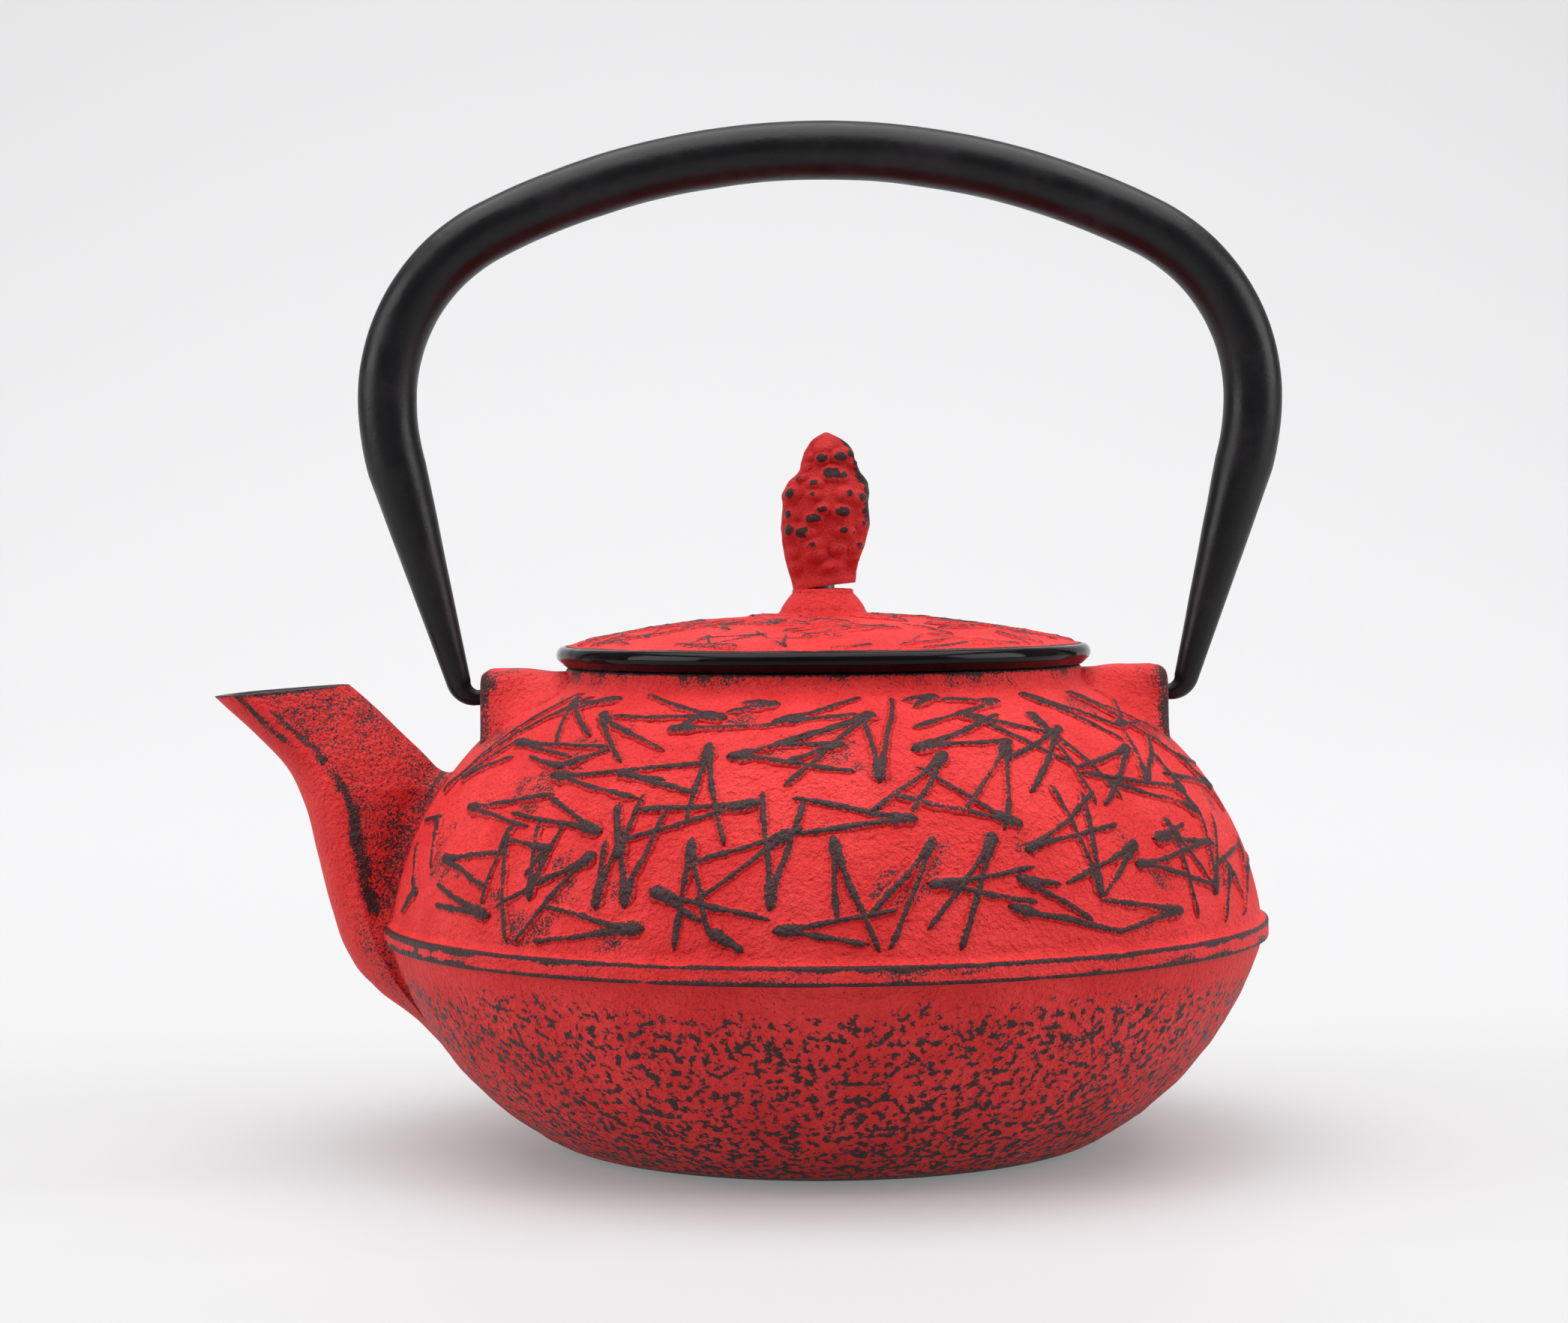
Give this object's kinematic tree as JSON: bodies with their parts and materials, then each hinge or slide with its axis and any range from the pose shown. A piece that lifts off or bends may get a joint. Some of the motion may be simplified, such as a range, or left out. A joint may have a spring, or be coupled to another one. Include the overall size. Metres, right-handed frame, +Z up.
{
  "type": "cast iron teapot",
  "caption": "Squat round cast iron teapot with belt ridge, short spout, two ears, arching bail handle, domed lid with pine-cone knob and lift-out infuser basket.",
  "frame": {"origin": "centre of the flat base, on the surface the pot stands on", "axes": "+Z up; the spout points along -X; +Y is across the pot, and the bail's pivot axis is parallel to X"},
  "size_m": [0.1821, 0.15, 0.1731],
  "materials": {
    "pot_paint": "matt red paint on cast iron, rubbed through to dark iron on the raised relief, black enamel inside",
    "lid_paint": "matt red paint with rubbed relief, gloss black enamel rim and underside",
    "knob_paint": "matt red paint with dark rubbed scale tips",
    "handle_paint": "satin black paint on steel tube",
    "rivet_steel": "dull steel",
    "stainless": "pressed stainless sheet",
    "stainless_cloth": "woven stainless wire cloth"
  },
  "bodies": {
    "pot": {"pot_body": "pot_paint", "spout": "pot_paint"},
    "bail": {"bail_tube": "handle_paint", "bail_hook_spout_side": "handle_paint", "bail_hook_back_side": "handle_paint"},
    "infuser": {"infuser_rim": "stainless", "infuser_wall": "stainless_cloth", "infuser_floor": "stainless_cloth", "infuser_hem": "stainless"},
    "lid": {"lid": "lid_paint"},
    "knob": {"knob": "knob_paint", "knob_rivet": "rivet_steel", "knob_washer": "rivet_steel"}
  },
  "joints": [
    {"name": "bail_hinge", "type": "hinge", "parent": "pot", "child": "bail", "pos_m": [0, 0, 0.0757], "axis": [1, 0, 0], "range_deg": [-125, 125]},
    {"name": "infuser_lift", "type": "slide", "parent": "pot", "child": "infuser", "axis": [0, 0, 1], "range_m": [0, 0.04]},
    {"name": "lid_lift", "type": "slide", "parent": "infuser", "child": "lid", "axis": [0, 0, 1], "range_m": [0, 0.04]},
    {"name": "knob_turn", "type": "hinge", "parent": "lid", "child": "knob", "pos_m": [0, 0, 0.0944], "axis": [0, 0, 1], "continuous": true}
  ]
}
